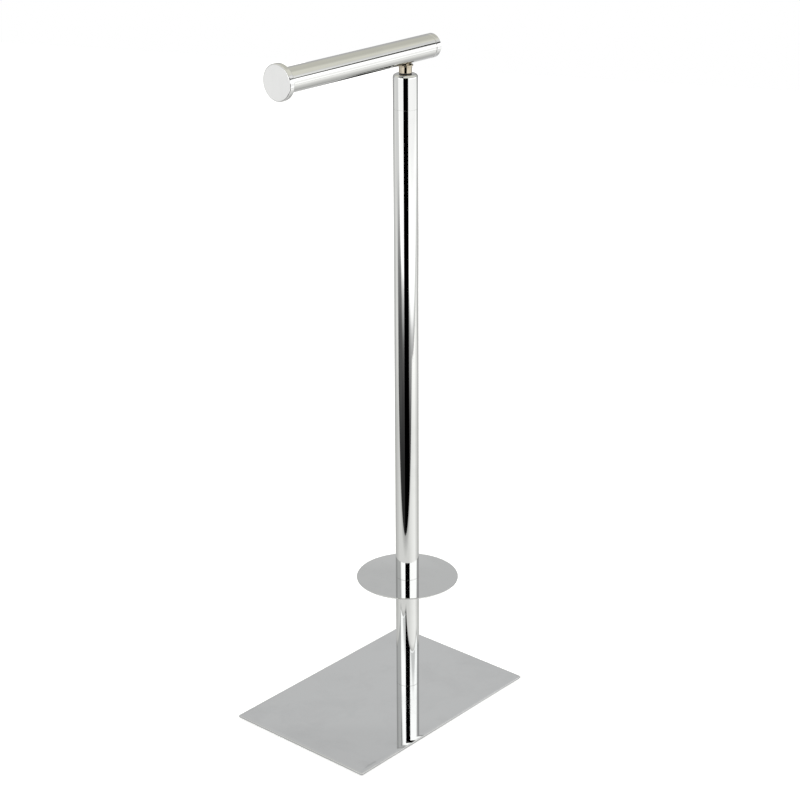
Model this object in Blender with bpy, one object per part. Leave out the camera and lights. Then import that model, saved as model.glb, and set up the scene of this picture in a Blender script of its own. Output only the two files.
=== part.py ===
# Freestanding toilet paper holder.
#
# A thin rectangular plate carries a round column near one of its short ends. A storage disc sits
# on the column a hand's width above the plate and keeps the spare rolls off the floor. On top of
# the column a thin neck carries a horizontal bar for the roll in use. The bar reaches far out over
# the plate on one side, where a larger round stop keeps the roll on, and only a little way on the
# other side. The bar turns on its neck about the column's axis.
#
# Units are metres and +Z is up. The origin lies on the floor, under the middle of the outline seen
# from above, and X runs along the bar with the roll stop at the -X end.

import math

import bmesh
import bpy

# Clearances. The last two are no sizes of the object: how far a cutter runs past the faces that it
# opens, and how near two points must be to count as one.
SEAT_GAP = 0.0003
FIT_GAP = 0.0003
CUT_OVERRUN = 0.002
MERGE_DISTANCE = 0.000001

# Flat faces and straight sides keep a narrow border beside a rounded edge, so that smooth shading
# leaves the rest of them flat.
SHADING_BORDER = 0.0003

# Sides of the large round pieces, of the neck and of the hidden pieces, and the steps of a small
# edge and of a wider one.
ROUND_SIDES = 64
NECK_SIDES = 32
HIDDEN_SIDES = 20
EDGE_STEPS = 2
WIDE_EDGE_STEPS = 4

# Pads under the plate's corners
PAD_DIAMETER = 0.016
PAD_HEIGHT = 0.0012
PAD_INSET = 0.014
PAD_EDGE = 0.0003

# Base plate
PLATE_LENGTH = 0.262
PLATE_WIDTH = 0.177
PLATE_THICKNESS = 0.002
PLATE_CORNER_RADIUS = 0.0012
PLATE_LOWER_EDGE = 0.0003
PLATE_ROLL_WIDTH = 0.004
PLATE_ROLL_DROP = 0.0005
PLATE_CORNER_STEPS = 5
PLATE_ROLL_STEPS = 7
COLUMN_TO_SHORT_EDGE = 0.0887

# Countersunk screw that holds the column to the plate
BASE_SCREW_DIAMETER = 0.006
BASE_SCREW_HEAD_DIAMETER = 0.0118
BASE_SCREW_HEAD_RIM = 0.0003
BASE_SCREW_RECESS = 0.0002
BASE_SCREW_LENGTH = 0.016
BASE_SCREW_SOCKET_WIDTH = 0.004
BASE_SCREW_SOCKET_DEPTH = 0.0022

# Column tubes and the threaded plugs pressed into their ends
TUBE_DIAMETER = 0.025
TUBE_WALL = 0.0012
TUBE_END_CHAMFER = 0.0001
LOWER_TUBE_LENGTH = 0.1272
MAIN_TUBE_LENGTH = 0.5105
PLUG_LENGTH = 0.016
PLUG_CHAMFER = 0.0008
SPIGOT_DIAMETER = 0.0165
SPIGOT_LENGTH = 0.010

# Storage disc and the stud that clamps it between the two tubes
DISC_DIAMETER = 0.1087
DISC_THICKNESS = 0.0012
DISC_EDGE = 0.0004
STUD_DIAMETER = 0.008
STUD_LENGTH = 0.028
STUD_CHAMFER = 0.0008

# Finial, the column's top piece, with a web that carries the neck's pivot over a cavity that screws
# onto the main tube's spigot
FINIAL_LENGTH = 0.0341
FINIAL_SHOULDER = 0.0032
FINIAL_WEB = 0.010

# Flanged bush in the finial's web
BUSH_WALL = 0.001
BUSH_FLANGE_DIAMETER = 0.0124
BUSH_FLANGE_THICKNESS = 0.0005

# Neck: the visible post, its spindle and thread below, and its thread up into the bar
NECK_DIAMETER = 0.013
NECK_LENGTH = 0.0062
NECK_EDGE = 0.0004
SPINDLE_DIAMETER = 0.008
SPINDLE_THREAD_DIAMETER = 0.006
SPINDLE_THREAD_LENGTH = 0.0092
BAR_THREAD_LENGTH = 0.016
COLLAR_DIAMETER = 0.0154
COLLAR_THICKNESS = 0.0015
COLLAR_EDGE = 0.0005

# Spring washer, flat washer and lock nut on the spindle's thread, inside the finial
WASHER_DIAMETER = 0.014
WASHER_THICKNESS = 0.001
SPRING_THICKNESS = 0.0004
SPRING_WAVE = 0.0003
SPRING_WAVES = 3
SPRING_SIDES = 24
NUT_WIDTH = 0.010
NUT_HEIGHT = 0.005

# Bar, its inner slug, the roll stop at the long end and the button at the short end
BAR_DIAMETER = 0.024
BAR_WALL = 0.0012
BAR_FREE_REACH = 0.1786
BAR_SHORT_REACH = 0.0401
INSERT_LENGTH = 0.028
STOP_DIAMETER = 0.0353
STOP_THICKNESS = 0.0058
STOP_FACE_EDGE = 0.0013
STOP_BACK_EDGE = 0.001
STOP_SPIGOT_LENGTH = 0.014
BUTTON_LENGTH = 0.0059
BUTTON_EDGE = 0.0006
BUTTON_SEAM_EDGE = 0.0003
BUTTON_SPIGOT_LENGTH = 0.010
BAR_SPIGOT_CHAMFER = 0.0008

# Heights, stacked up from the floor
PLATE_BOTTOM = PAD_HEIGHT + SEAT_GAP
PLATE_TOP = PLATE_BOTTOM + PLATE_THICKNESS
LOWER_TUBE_BOTTOM = PLATE_TOP + SEAT_GAP
LOWER_TUBE_TOP = LOWER_TUBE_BOTTOM + LOWER_TUBE_LENGTH
DISC_BOTTOM = LOWER_TUBE_TOP + SEAT_GAP
DISC_TOP = DISC_BOTTOM + DISC_THICKNESS
MAIN_TUBE_BOTTOM = DISC_TOP + SEAT_GAP
MAIN_TUBE_TOP = MAIN_TUBE_BOTTOM + MAIN_TUBE_LENGTH
FINIAL_BOTTOM = MAIN_TUBE_TOP + SEAT_GAP
FINIAL_TOP = FINIAL_BOTTOM + FINIAL_LENGTH
WEB_BOTTOM = FINIAL_TOP - FINIAL_WEB
FLANGE_BOTTOM = FINIAL_TOP + SEAT_GAP
FLANGE_TOP = FLANGE_BOTTOM + BUSH_FLANGE_THICKNESS
NECK_BOTTOM = FLANGE_TOP + SEAT_GAP
NECK_TOP = NECK_BOTTOM + NECK_LENGTH
COLLAR_BOTTOM = NECK_TOP + SEAT_GAP
COLLAR_TOP = COLLAR_BOTTOM + COLLAR_THICKNESS
BAR_AXIS = COLLAR_TOP + SEAT_GAP + BAR_DIAMETER / 2

# Places along X: the outline seen from above is centred on the origin
FREE_SIDE_REACH = max(BAR_FREE_REACH, PLATE_LENGTH - COLUMN_TO_SHORT_EDGE)
SHORT_SIDE_REACH = max(BAR_SHORT_REACH, COLUMN_TO_SHORT_EDGE)
COLUMN_X = (FREE_SIDE_REACH - SHORT_SIDE_REACH) / 2
PLATE_RIGHT = COLUMN_X + COLUMN_TO_SHORT_EDGE
PLATE_MIDDLE = PLATE_RIGHT - PLATE_LENGTH / 2

# Radii that several pieces share
TUBE_RADIUS = TUBE_DIAMETER / 2
TUBE_BORE_RADIUS = TUBE_RADIUS - TUBE_WALL
PLUG_RADIUS = TUBE_BORE_RADIUS - FIT_GAP
STUD_RADIUS = STUD_DIAMETER / 2
STUD_HOLE_RADIUS = STUD_RADIUS + FIT_GAP
SCREW_RADIUS = BASE_SCREW_DIAMETER / 2
SCREW_HEAD_RADIUS = BASE_SCREW_HEAD_DIAMETER / 2
SPINDLE_RADIUS = SPINDLE_DIAMETER / 2
BUSH_BORE_RADIUS = SPINDLE_RADIUS + FIT_GAP
BUSH_RADIUS = BUSH_BORE_RADIUS + BUSH_WALL
THREAD_RADIUS = SPINDLE_THREAD_DIAMETER / 2
THREAD_HOLE_RADIUS = THREAD_RADIUS + FIT_GAP
BAR_RADIUS = BAR_DIAMETER / 2
BAR_SLUG_RADIUS = BAR_RADIUS - BAR_WALL - FIT_GAP


def clear_scene():
    for item in list(bpy.data.objects):
        bpy.data.objects.remove(item, do_unlink=True)


def finish(name, colour, roughness, metallic):
    material = bpy.data.materials.new(name)
    material.use_nodes = True
    shader = material.node_tree.nodes["Principled BSDF"]
    shader.inputs["Base Color"].default_value = (*colour, 1)
    shader.inputs["Roughness"].default_value = roughness
    shader.inputs["Metallic"].default_value = metallic
    return material


def chrome(name):
    return finish(name, (0.6, 0.61, 0.605), 0.04, 1)


def turned_nickel(name):
    return finish(name, (0.48, 0.43, 0.33), 0.25, 1)


def plated_steel(name):
    return finish(name, (0.62, 0.63, 0.64), 0.3, 1)


def place(name, mesh, material, parent=None, location=(0, 0, 0), along_bar=False):
    item = bpy.data.objects.new(name, mesh)
    bpy.context.scene.collection.objects.link(item)
    mesh.materials.append(material)
    if along_bar:
        item.rotation_euler = (0, math.pi / 2, 0)
    item.location = location
    item.parent = parent
    return item


def finished_mesh(name, bm):
    bmesh.ops.recalc_face_normals(bm, faces=bm.faces)
    mesh = bpy.data.meshes.new(name)
    bm.to_mesh(mesh)
    bm.free()
    mesh.shade_smooth()
    mesh.set_sharp_from_angle(angle=math.radians(35))
    return mesh


# A turned piece: its profile is a list of (radius, height), spun about Z. A solid piece's profile
# starts and ends on the axis. A bored piece's profile is closed and never touches it.
def turned(name, profile, sides):
    bm = bmesh.new()
    points = [bm.verts.new((radius, 0, height)) for radius, height in profile]
    pairs = list(zip(points, points[1:]))
    if profile[0][0] > 0:
        pairs.append((points[-1], points[0]))
    edges = [bm.edges.new(pair) for pair in pairs]
    bmesh.ops.spin(
        bm,
        geom=points + edges,
        cent=(0, 0, 0),
        axis=(0, 0, 1),
        angle=2 * math.pi,
        steps=sides,
        use_merge=True,
    )
    bmesh.ops.remove_doubles(bm, verts=bm.verts, dist=MERGE_DISTANCE)
    return finished_mesh(name, bm)


# The rounded outer edge at the top of a turned profile, read upwards: side, arc, top face.
def over_top(radius, height, edge, steps=EDGE_STEPS):
    points = [(radius, height - edge - SHADING_BORDER)]
    for step in range(steps + 1):
        turn = math.pi / 2 * step / steps
        points.append((radius - edge + edge * math.cos(turn), height - edge + edge * math.sin(turn)))
    points.append((radius - edge - SHADING_BORDER, height))
    return points


# The same edge at the bottom, read upwards: bottom face, arc, side.
def under_bottom(radius, height, edge, steps=EDGE_STEPS):
    mirrored = over_top(radius, 0, edge, steps)
    return [(r, height - h) for r, h in reversed(mirrored)]


# A plain ring with small chamfers on its outer edges, as a closed profile.
def ring(bore, radius, bottom, top, chamfer=0):
    if chamfer == 0:
        return [(bore, bottom), (radius, bottom), (radius, top), (bore, top)]
    return [
        (bore, bottom),
        (radius - chamfer, bottom),
        (radius, bottom + chamfer),
        (radius, top - chamfer),
        (radius - chamfer, top),
        (bore, top),
    ]


# A plain rod with chamfered ends, as a profile that starts and ends on the axis.
def rod(radius, bottom, top, chamfer):
    return [(0, bottom)] + ring(0, radius, bottom, top, chamfer)[1:-1] + [(0, top)]


def cut(item, cutter, name):
    cutter.hide_render = True
    cutter.display_type = "WIRE"
    boolean = item.modifiers.new(name, "BOOLEAN")
    boolean.operation = "DIFFERENCE"
    boolean.solver = "EXACT"
    boolean.object = cutter


def hexagon_prism(name, width, bottom, top):
    corner = width / 2 / math.cos(math.pi / 6)
    profile = [(0, bottom), (corner, bottom), (corner, top), (0, top)]
    return turned(name, profile, 6)


# Pads and base plate


def corner_pad(name, x, y):
    profile = rod(PAD_DIAMETER / 2, 0, PAD_HEIGHT, PAD_EDGE)
    mesh = turned(name, profile, HIDDEN_SIDES)
    return place(name, mesh, finish(name, (0.03, 0.03, 0.03), 0.8, 0), location=(x, y, 0))


def corner_pads():
    across = PLATE_LENGTH / 2 - PAD_INSET
    deep = PLATE_WIDTH / 2 - PAD_INSET
    for end, x in (("left", PLATE_MIDDLE - across), ("right", PLATE_MIDDLE + across)):
        for side, y in (("front", -deep), ("rear", deep)):
            corner_pad(f"pad_{side}_{end}", x, y)


# One loop of the plate: a rectangle with rounded corners, set in from the plate's outline.
def plate_loop(bm, inset, height):
    across = PLATE_LENGTH / 2 - PLATE_CORNER_RADIUS - inset
    deep = PLATE_WIDTH / 2 - PLATE_CORNER_RADIUS - inset
    loop = []
    for quarter, (x_side, y_side) in enumerate(((1, 1), (-1, 1), (-1, -1), (1, -1))):
        for step in range(PLATE_CORNER_STEPS + 1):
            turn = math.pi / 2 * (quarter + step / PLATE_CORNER_STEPS)
            x = x_side * across + PLATE_CORNER_RADIUS * math.cos(turn)
            y = y_side * deep + PLATE_CORNER_RADIUS * math.sin(turn)
            loop.append(bm.verts.new((x, y, height)))
    return loop


# The plate's edge from its underside to its top, as (inset, height). Buffing has rolled the top
# over towards the edge, along a quarter of an ellipse.
def plate_edge():
    levels = [(PLATE_LOWER_EDGE, 0), (0, PLATE_LOWER_EDGE)]
    levels.append((0, PLATE_THICKNESS - PLATE_ROLL_DROP - SHADING_BORDER))
    for step in range(PLATE_ROLL_STEPS + 1):
        turn = math.pi / 2 * step / PLATE_ROLL_STEPS
        inset = PLATE_ROLL_WIDTH * (1 - math.cos(turn))
        drop = PLATE_ROLL_DROP * (1 - math.sin(turn))
        levels.append((inset, PLATE_THICKNESS - drop))
    levels.append((PLATE_ROLL_WIDTH + SHADING_BORDER, PLATE_THICKNESS))
    return levels


# The screw's cone with a clearance, run out through the plate's underside and on up through the
# lower plug, whose mouth the cone's tip reaches into.
def countersink():
    head = SCREW_HEAD_RADIUS + FIT_GAP
    shank = SCREW_RADIUS + FIT_GAP
    rim = BASE_SCREW_RECESS + BASE_SCREW_HEAD_RIM
    top = PLATE_THICKNESS + SEAT_GAP + PLUG_LENGTH + CUT_OVERRUN
    profile = [(0, -CUT_OVERRUN), (head, -CUT_OVERRUN), (head, rim)]
    profile += [(shank, rim + head - shank), (shank, top), (0, top)]
    mesh = turned("countersink", profile, HIDDEN_SIDES)
    plain = finish("cutter", (0.5, 0.5, 0.5), 0.5, 0)
    return place("countersink", mesh, plain, location=(COLUMN_X, 0, PLATE_BOTTOM))


def base_plate(cutter):
    bm = bmesh.new()
    loops = [plate_loop(bm, inset, height) for inset, height in plate_edge()]
    for lower, upper in zip(loops, loops[1:]):
        for index, start in enumerate(lower):
            after = (index + 1) % len(lower)
            bm.faces.new((start, lower[after], upper[after], upper[index]))
    bm.faces.new(loops[0])
    bm.faces.new(loops[-1])
    mesh = finished_mesh("base_plate", bm)
    plate = place(
        "base_plate", mesh, chrome("base_plate"), location=(PLATE_MIDDLE, 0, PLATE_BOTTOM)
    )
    cut(plate, cutter, "screw hole")


def base_screw():
    bottom = BASE_SCREW_RECESS
    rim = bottom + BASE_SCREW_HEAD_RIM
    neck = rim + SCREW_HEAD_RADIUS - SCREW_RADIUS
    tip = bottom + BASE_SCREW_LENGTH
    profile = [(0, bottom), (SCREW_HEAD_RADIUS, bottom), (SCREW_HEAD_RADIUS, rim)]
    profile += [(SCREW_RADIUS, neck), (SCREW_RADIUS, tip - STUD_CHAMFER)]
    profile += [(SCREW_RADIUS - STUD_CHAMFER, tip), (0, tip)]
    mesh = turned("base_screw", profile, HIDDEN_SIDES)
    place_at = (COLUMN_X, 0, PLATE_BOTTOM)
    screw = place("base_screw", mesh, plated_steel("base_screw"), location=place_at)
    depth = bottom + BASE_SCREW_SOCKET_DEPTH
    socket = hexagon_prism("screw_socket", BASE_SCREW_SOCKET_WIDTH, -CUT_OVERRUN, depth)
    cutter = place("screw_socket", socket, plated_steel("cutter"), location=place_at)
    cut(screw, cutter, "hexagon socket")


# Column


def tube(name, bottom, length):
    inner = TUBE_BORE_RADIUS
    profile = ring(inner, TUBE_RADIUS, 0, length, TUBE_END_CHAMFER)
    mesh = turned(name, profile, ROUND_SIDES)
    return place(name, mesh, chrome(name), location=(COLUMN_X, 0, bottom))


# A plug runs up from the bottom of its tube or down from the top of it, flush with the tube's end.
def plug(name, bottom, bore):
    profile = ring(bore, PLUG_RADIUS, 0, PLUG_LENGTH, PLUG_CHAMFER)
    mesh = turned(name, profile, HIDDEN_SIDES)
    return place(name, mesh, plated_steel(name), location=(COLUMN_X, 0, bottom))


def lower_column(cutter):
    tube("lower_tube", LOWER_TUBE_BOTTOM, LOWER_TUBE_LENGTH)
    profile = rod(PLUG_RADIUS, 0, PLUG_LENGTH, PLUG_CHAMFER)
    mesh = turned("lower_tube_bottom_plug", profile, HIDDEN_SIDES)
    metal = plated_steel("lower_tube_bottom_plug")
    foot = place("lower_tube_bottom_plug", mesh, metal, location=(COLUMN_X, 0, LOWER_TUBE_BOTTOM))
    cut(foot, cutter, "screw bore")
    plug("lower_tube_top_plug", LOWER_TUBE_TOP - PLUG_LENGTH, STUD_HOLE_RADIUS)


def storage_disc():
    radius = DISC_DIAMETER / 2
    profile = [(STUD_HOLE_RADIUS, 0)]
    profile += under_bottom(radius, 0, DISC_EDGE)[:-1]
    profile += over_top(radius, DISC_THICKNESS, DISC_EDGE)[1:]
    profile += [(STUD_HOLE_RADIUS, DISC_THICKNESS)]
    mesh = turned("storage_disc", profile, ROUND_SIDES)
    place("storage_disc", mesh, chrome("storage_disc"), location=(COLUMN_X, 0, DISC_BOTTOM))


def joint_stud():
    middle = DISC_BOTTOM + DISC_THICKNESS / 2
    profile = rod(STUD_RADIUS, -STUD_LENGTH / 2, STUD_LENGTH / 2, STUD_CHAMFER)
    mesh = turned("joint_stud", profile, HIDDEN_SIDES)
    place("joint_stud", mesh, plated_steel("joint_stud"), location=(COLUMN_X, 0, middle))


# The main tube's top plug ends in a spigot that the finial screws onto.
def main_top_plug():
    bottom = MAIN_TUBE_TOP - PLUG_LENGTH
    spigot = SPIGOT_DIAMETER / 2
    tip = PLUG_LENGTH + SPIGOT_LENGTH
    profile = [(0, 0), (PLUG_RADIUS - PLUG_CHAMFER, 0), (PLUG_RADIUS, PLUG_CHAMFER)]
    profile += [(PLUG_RADIUS, PLUG_LENGTH), (spigot, PLUG_LENGTH), (spigot, tip - PLUG_CHAMFER)]
    profile += [(spigot - PLUG_CHAMFER, tip), (0, tip)]
    mesh = turned("main_tube_top_plug", profile, HIDDEN_SIDES)
    metal = plated_steel("main_tube_top_plug")
    place("main_tube_top_plug", mesh, metal, location=(COLUMN_X, 0, bottom))


def main_column():
    tube("main_tube", MAIN_TUBE_BOTTOM, MAIN_TUBE_LENGTH)
    plug("main_tube_bottom_plug", MAIN_TUBE_BOTTOM, STUD_HOLE_RADIUS)
    main_top_plug()


def finial():
    cavity = SPIGOT_DIAMETER / 2 + FIT_GAP
    web_bore = BUSH_RADIUS + FIT_GAP
    web = FINIAL_LENGTH - FINIAL_WEB
    profile = [(cavity, 0), (TUBE_RADIUS - TUBE_END_CHAMFER, 0), (TUBE_RADIUS, TUBE_END_CHAMFER)]
    profile += over_top(TUBE_RADIUS, FINIAL_LENGTH, FINIAL_SHOULDER, WIDE_EDGE_STEPS)
    profile += [(web_bore, FINIAL_LENGTH), (web_bore, web), (cavity, web)]
    mesh = turned("finial", profile, ROUND_SIDES)
    place("finial", mesh, chrome("finial"), location=(COLUMN_X, 0, FINIAL_BOTTOM))


def pivot_bush():
    flange = BUSH_FLANGE_DIAMETER / 2
    bottom = WEB_BOTTOM - FLANGE_BOTTOM
    profile = [(BUSH_BORE_RADIUS, bottom), (BUSH_RADIUS, bottom), (BUSH_RADIUS, 0), (flange, 0)]
    profile += [(flange, BUSH_FLANGE_THICKNESS), (BUSH_BORE_RADIUS, BUSH_FLANGE_THICKNESS)]
    mesh = turned("pivot_bush", profile, NECK_SIDES)
    nylon = finish("pivot_bush", (0.03, 0.03, 0.03), 0.45, 0)
    place("pivot_bush", mesh, nylon, location=(COLUMN_X, 0, FLANGE_BOTTOM))


# Turning pieces. Their parent empty stands on the pivot's axis, at the foot of the neck.


def pivot_axis():
    empty = bpy.data.objects.new("bar_pivot", None)
    bpy.context.scene.collection.objects.link(empty)
    empty.location = (COLUMN_X, 0, NECK_BOTTOM)
    return empty


def neck_post(pivot):
    neck = NECK_DIAMETER / 2
    thread_start = WEB_BOTTOM - SEAT_GAP - NECK_BOTTOM
    thread_end = thread_start - SPINDLE_THREAD_LENGTH
    top_end = NECK_LENGTH + BAR_THREAD_LENGTH
    profile = [(0, thread_end), (THREAD_RADIUS - STUD_CHAMFER, thread_end)]
    profile += [(THREAD_RADIUS, thread_end + STUD_CHAMFER), (THREAD_RADIUS, thread_start)]
    profile += [(SPINDLE_RADIUS, thread_start), (SPINDLE_RADIUS, 0)]
    profile += under_bottom(neck, 0, NECK_EDGE)
    profile += over_top(neck, NECK_LENGTH, NECK_EDGE)
    profile += [(STUD_RADIUS, NECK_LENGTH), (STUD_RADIUS, top_end - STUD_CHAMFER)]
    profile += [(STUD_RADIUS - STUD_CHAMFER, top_end), (0, top_end)]
    mesh = turned("neck_post", profile, NECK_SIDES)
    place("neck_post", mesh, turned_nickel("neck_post"), pivot)


def neck_collar(pivot):
    radius = COLLAR_DIAMETER / 2
    middle = COLLAR_THICKNESS / 2
    profile = [(STUD_HOLE_RADIUS, 0)]
    profile += under_bottom(radius, 0, COLLAR_EDGE)[:-1]
    profile += [(radius, middle)]
    profile += over_top(radius, COLLAR_THICKNESS, COLLAR_EDGE)[1:]
    profile += [(STUD_HOLE_RADIUS, COLLAR_THICKNESS)]
    mesh = turned("neck_collar", profile, NECK_SIDES)
    nickel = turned_nickel("neck_collar")
    place("neck_collar", mesh, nickel, pivot, (0, 0, COLLAR_BOTTOM - NECK_BOTTOM))


# The spring washer's height follows a wave round the ring.
def spring_washer(pivot, top):
    bm = bmesh.new()
    wave_middle = -SPRING_THICKNESS - SPRING_WAVE / 2
    loops = []
    for radius, lift in (
        (THREAD_HOLE_RADIUS, 0),
        (WASHER_DIAMETER / 2, 0),
        (WASHER_DIAMETER / 2, SPRING_THICKNESS),
        (THREAD_HOLE_RADIUS, SPRING_THICKNESS),
    ):
        loop = []
        for step in range(SPRING_SIDES):
            turn = 2 * math.pi * step / SPRING_SIDES
            height = wave_middle + lift + SPRING_WAVE / 2 * math.cos(SPRING_WAVES * turn)
            loop.append(bm.verts.new((radius * math.cos(turn), radius * math.sin(turn), height)))
        loops.append(loop)
    for here, there in zip(loops, loops[1:] + loops[:1]):
        for index in range(SPRING_SIDES):
            after = (index + 1) % SPRING_SIDES
            bm.faces.new((here[index], here[after], there[after], there[index]))
    mesh = finished_mesh("spring_washer", bm)
    place("spring_washer", mesh, plated_steel("spring_washer"), pivot, (0, 0, top))


def pivot_washer(pivot, top):
    profile = ring(THREAD_HOLE_RADIUS, WASHER_DIAMETER / 2, -WASHER_THICKNESS, 0)
    mesh = turned("pivot_washer", profile, HIDDEN_SIDES)
    place("pivot_washer", mesh, plated_steel("pivot_washer"), pivot, (0, 0, top))


def lock_nut(pivot, top):
    bore_profile = [(0, -NUT_HEIGHT - CUT_OVERRUN), (THREAD_HOLE_RADIUS, -NUT_HEIGHT - CUT_OVERRUN)]
    bore_profile += [(THREAD_HOLE_RADIUS, CUT_OVERRUN), (0, CUT_OVERRUN)]
    body = hexagon_prism("lock_nut", NUT_WIDTH, -NUT_HEIGHT, 0)
    nut = place("lock_nut", body, plated_steel("lock_nut"), pivot, (0, 0, top))
    bore = turned("nut_bore", bore_profile, HIDDEN_SIDES)
    cut(nut, place("nut_bore", bore, plated_steel("cutter"), pivot, (0, 0, top)), "nut bore")


def pivot_fasteners(pivot):
    spring_top = WEB_BOTTOM - SEAT_GAP - NECK_BOTTOM
    washer_top = spring_top - SPRING_THICKNESS - SPRING_WAVE - SEAT_GAP
    nut_top = washer_top - WASHER_THICKNESS - SEAT_GAP
    spring_washer(pivot, spring_top)
    pivot_washer(pivot, washer_top)
    lock_nut(pivot, nut_top)


# Bar. Its pieces are turned about local Z, which lies along the bar towards the short end, with
# zero at the column's axis.


def bar_height():
    return BAR_AXIS - NECK_BOTTOM


# The neck's upper thread with a clearance, run out below the bar.
def thread_hole(pivot):
    bottom = NECK_LENGTH
    top = NECK_LENGTH + BAR_THREAD_LENGTH + SEAT_GAP
    profile = [(0, bottom), (STUD_HOLE_RADIUS, bottom), (STUD_HOLE_RADIUS, top), (0, top)]
    mesh = turned("thread_hole", profile, HIDDEN_SIDES)
    return place("thread_hole", mesh, plated_steel("cutter"), pivot)


def bar_tube(pivot, cutter):
    left = -BAR_FREE_REACH + STOP_THICKNESS + SEAT_GAP
    right = BAR_SHORT_REACH - BUTTON_LENGTH - SEAT_GAP
    profile = ring(BAR_RADIUS - BAR_WALL, BAR_RADIUS, left, right, TUBE_END_CHAMFER)
    mesh = turned("bar_tube", profile, ROUND_SIDES)
    bar = place("bar_tube", mesh, chrome("bar_tube"), pivot, (0, 0, bar_height()), True)
    cut(bar, cutter, "neck hole")


def bar_insert(pivot, cutter):
    profile = rod(BAR_SLUG_RADIUS, -INSERT_LENGTH / 2, INSERT_LENGTH / 2, BAR_SPIGOT_CHAMFER)
    mesh = turned("bar_insert", profile, NECK_SIDES)
    metal = plated_steel("bar_insert")
    slug = place("bar_insert", mesh, metal, pivot, (0, 0, bar_height()), True)
    cut(slug, cutter, "neck thread")


def roll_stop(pivot):
    radius = STOP_DIAMETER / 2
    face = -BAR_FREE_REACH
    back = face + STOP_THICKNESS
    tip = back + STOP_SPIGOT_LENGTH
    profile = [(0, face)]
    profile += under_bottom(radius, face, STOP_FACE_EDGE, WIDE_EDGE_STEPS)
    profile += over_top(radius, back, STOP_BACK_EDGE)
    profile += [(BAR_SLUG_RADIUS, back), (BAR_SLUG_RADIUS, tip - BAR_SPIGOT_CHAMFER)]
    profile += [(BAR_SLUG_RADIUS - BAR_SPIGOT_CHAMFER, tip), (0, tip)]
    mesh = turned("roll_stop", profile, ROUND_SIDES)
    place("roll_stop", mesh, chrome("roll_stop"), pivot, (0, 0, bar_height()), True)


def end_button(pivot):
    end = BAR_SHORT_REACH
    seam = end - BUTTON_LENGTH
    tip = seam - BUTTON_SPIGOT_LENGTH
    profile = [(0, tip), (BAR_SLUG_RADIUS - BAR_SPIGOT_CHAMFER, tip)]
    profile += [(BAR_SLUG_RADIUS, tip + BAR_SPIGOT_CHAMFER), (BAR_SLUG_RADIUS, seam)]
    profile += under_bottom(BAR_RADIUS, seam, BUTTON_SEAM_EDGE)[1:]
    profile += over_top(BAR_RADIUS, end, BUTTON_EDGE)
    profile += [(0, end)]
    mesh = turned("end_button", profile, ROUND_SIDES)
    place("end_button", mesh, chrome("end_button"), pivot, (0, 0, bar_height()), True)


def bar(pivot):
    cutter = thread_hole(pivot)
    bar_tube(pivot, cutter)
    bar_insert(pivot, cutter)
    roll_stop(pivot)
    end_button(pivot)


clear_scene()
corner_pads()
screw_cone = countersink()
base_plate(screw_cone)
base_screw()
lower_column(screw_cone)
storage_disc()
joint_stud()
main_column()
finial()
pivot_bush()
bar_axis = pivot_axis()
neck_post(bar_axis)
neck_collar(bar_axis)
pivot_fasteners(bar_axis)
bar(bar_axis)
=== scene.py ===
# %% [markdown]
# # A chromed toilet paper holder, dressed for its photograph
#
# The holder is already modelled as solids, and a packed copy of them is the fixed frame of this
# scene. This lesson gives every solid that shows a finely rounded twin, gives each finish its own
# material, and then builds the small studio that chrome needs, because polished metal shows hardly
# anything but its surroundings. All sizes are in metres, with Z up.

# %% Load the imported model
import math

import bmesh
import bpy
from mathutils import Matrix, Vector


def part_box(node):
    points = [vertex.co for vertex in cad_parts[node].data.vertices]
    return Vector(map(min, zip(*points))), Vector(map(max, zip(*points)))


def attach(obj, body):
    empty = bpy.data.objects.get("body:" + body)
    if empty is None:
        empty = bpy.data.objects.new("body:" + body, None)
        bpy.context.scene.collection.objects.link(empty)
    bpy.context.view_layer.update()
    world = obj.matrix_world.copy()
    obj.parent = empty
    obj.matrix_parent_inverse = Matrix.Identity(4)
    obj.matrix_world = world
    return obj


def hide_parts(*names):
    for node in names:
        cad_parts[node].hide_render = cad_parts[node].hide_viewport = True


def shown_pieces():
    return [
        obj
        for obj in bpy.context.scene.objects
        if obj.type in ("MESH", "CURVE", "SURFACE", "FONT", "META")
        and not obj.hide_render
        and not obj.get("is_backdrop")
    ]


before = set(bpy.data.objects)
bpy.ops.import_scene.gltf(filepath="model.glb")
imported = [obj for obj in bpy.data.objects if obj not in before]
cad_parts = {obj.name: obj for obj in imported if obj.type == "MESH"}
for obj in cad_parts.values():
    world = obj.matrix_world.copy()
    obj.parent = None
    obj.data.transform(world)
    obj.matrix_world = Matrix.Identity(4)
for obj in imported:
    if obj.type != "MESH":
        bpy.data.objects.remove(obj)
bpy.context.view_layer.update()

# %% [markdown]
# ## Where things are
#
# Every place is read from the solids' boxes, so that each twin lands where its solid is. The column
# stands on one vertical axis and the bar lies on one level axis, and nearly every piece is turned
# about one of these two.

# %% Read the two axes and the main heights from the solids


def reach(node):
    low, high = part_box(node)
    return Vector(low), Vector(high)


tube_low, tube_high = reach("main_tube")
bar_low, bar_high = reach("bar_tube")
column_x = (tube_low.x + tube_high.x) / 2
column_radius = (tube_high.x - tube_low.x) / 2
bar_height = (bar_low.z + bar_high.z) / 2
bar_radius = (bar_high.z - bar_low.z) / 2
up_the_column = Matrix.Translation((column_x, 0, 0))
along_the_bar = Matrix.Translation((column_x, 0, bar_height)) @ Matrix.Rotation(math.pi / 2, 4, "Y")
print("column at x", round(column_x, 5), "radius", round(column_radius, 5))
print("bar at z", round(bar_height, 5), "radius", round(bar_radius, 5))

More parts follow.
